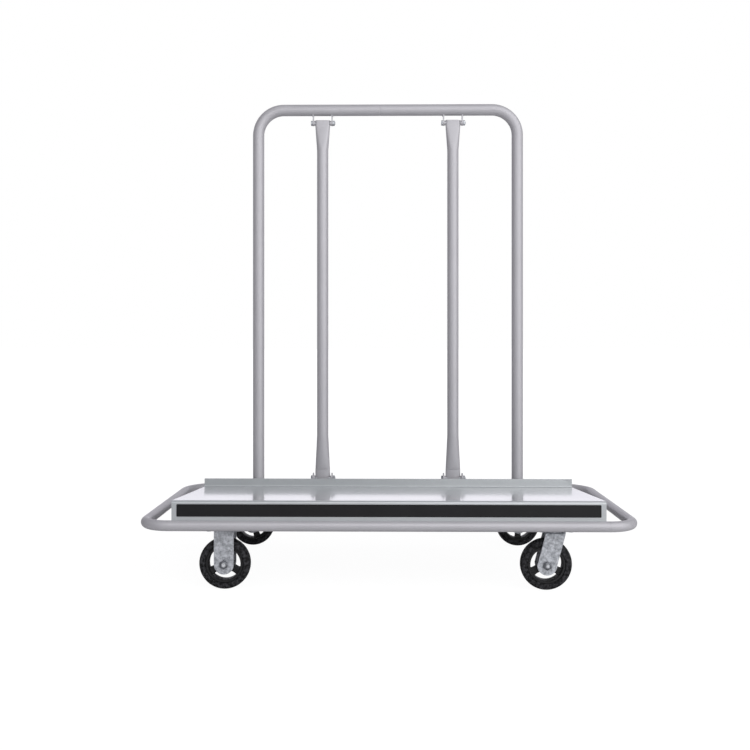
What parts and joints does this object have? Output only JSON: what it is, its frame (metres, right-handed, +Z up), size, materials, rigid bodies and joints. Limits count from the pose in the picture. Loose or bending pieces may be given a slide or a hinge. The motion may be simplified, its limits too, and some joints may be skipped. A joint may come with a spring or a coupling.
{
  "type": "drywall cart",
  "caption": "Drywall cart: a bumper ring on rigid and swivel casters carries a sloping deck with a rear lip, and a tall tube hoop with upright posts for boards to lean on.",
  "frame": {"origin": "on the floor, under the centre of the bumper ring", "axes": "+Z up, +X along the cart with the swivel casters at +X, the loading side faces -Y"},
  "size_m": [1.208, 0.624, 1.272],
  "materials": {
    "silver_paint": "semi-gloss silver-grey paint",
    "band": "plain black satin film",
    "zinc": "bright zinc plate, slightly mottled",
    "plain_steel": "plain dull steel",
    "tyre_rubber": "matt black solid rubber",
    "wheel_core": "black moulded plastic"
  },
  "bodies": {
    "frame": {"front_rail": "silver_paint", "rear_rail": "silver_paint", "left_end_bow": "silver_paint", "right_end_bow": "silver_paint", "left_cross_channel": "silver_paint", "right_cross_channel": "silver_paint", "left_deck_rib": "silver_paint", "right_deck_rib": "silver_paint", "hoop_beam": "silver_paint", "deck_pan": "silver_paint", "left_hoop": "silver_paint", "right_hoop": "silver_paint", "left_post": "silver_paint", "right_post": "silver_paint", "left_top_ears": "silver_paint", "right_top_ears": "silver_paint", "left_foot_ears": "silver_paint", "right_foot_ears": "silver_paint", "post_spacers": "silver_paint", "front_band": "band", "rigid_axle_nuts": "plain_steel", "hoop_sleeve": "plain_steel", "front_right_kingpin": "plain_steel", "rear_right_kingpin": "plain_steel", "post_bolts": "zinc", "post_nuts": "zinc", "leg_bolts": "zinc", "caster_bolts": "zinc", "caster_nuts": "zinc", "front_left_plate": "zinc", "front_left_fork": "zinc", "rear_left_plate": "zinc", "rear_left_fork": "zinc", "rigid_axle_bolts": "zinc", "front_right_plate": "zinc", "rear_right_plate": "zinc"},
    "front_left_wheel_body": {"front_left_tyre": "tyre_rubber", "front_left_wheel": "wheel_core", "front_left_bush": "plain_steel"},
    "front_right_swivel_body": {"front_right_race": "zinc", "front_right_fork": "zinc", "front_right_axle_bolt": "zinc", "front_right_axle_nut": "plain_steel"},
    "front_right_wheel_body": {"front_right_tyre": "tyre_rubber", "front_right_wheel": "wheel_core", "front_right_bush": "plain_steel"},
    "rear_left_wheel_body": {"rear_left_tyre": "tyre_rubber", "rear_left_wheel": "wheel_core", "rear_left_bush": "plain_steel"},
    "rear_right_swivel_body": {"rear_right_race": "zinc", "rear_right_fork": "zinc", "rear_right_axle_bolt": "zinc", "rear_right_axle_nut": "plain_steel"},
    "rear_right_wheel_body": {"rear_right_tyre": "tyre_rubber", "rear_right_wheel": "wheel_core", "rear_right_bush": "plain_steel"}
  },
  "joints": [
    {"name": "front_left_spin", "type": "hinge", "parent": "frame", "child": "front_left_wheel_body", "pos_m": [-0.397, -0.247, 0.0625], "axis": [0, 1, 0], "continuous": true},
    {"name": "front_right_swivel", "type": "hinge", "parent": "frame", "child": "front_right_swivel_body", "pos_m": [0.403, -0.247, 0.142], "axis": [0, 0, 1], "continuous": true},
    {"name": "front_right_spin", "type": "hinge", "parent": "front_right_swivel_body", "child": "front_right_wheel_body", "pos_m": [0.382, -0.247, 0.0625], "axis": [0, 1, 0], "continuous": true},
    {"name": "rear_left_spin", "type": "hinge", "parent": "frame", "child": "rear_left_wheel_body", "pos_m": [-0.397, 0.247, 0.0625], "axis": [0, 1, 0], "continuous": true},
    {"name": "rear_right_swivel", "type": "hinge", "parent": "frame", "child": "rear_right_swivel_body", "pos_m": [0.403, 0.247, 0.142], "axis": [0, 0, 1], "continuous": true},
    {"name": "rear_right_spin", "type": "hinge", "parent": "rear_right_swivel_body", "child": "rear_right_wheel_body", "pos_m": [0.382, 0.247, 0.0625], "axis": [0, 1, 0], "continuous": true}
  ]
}
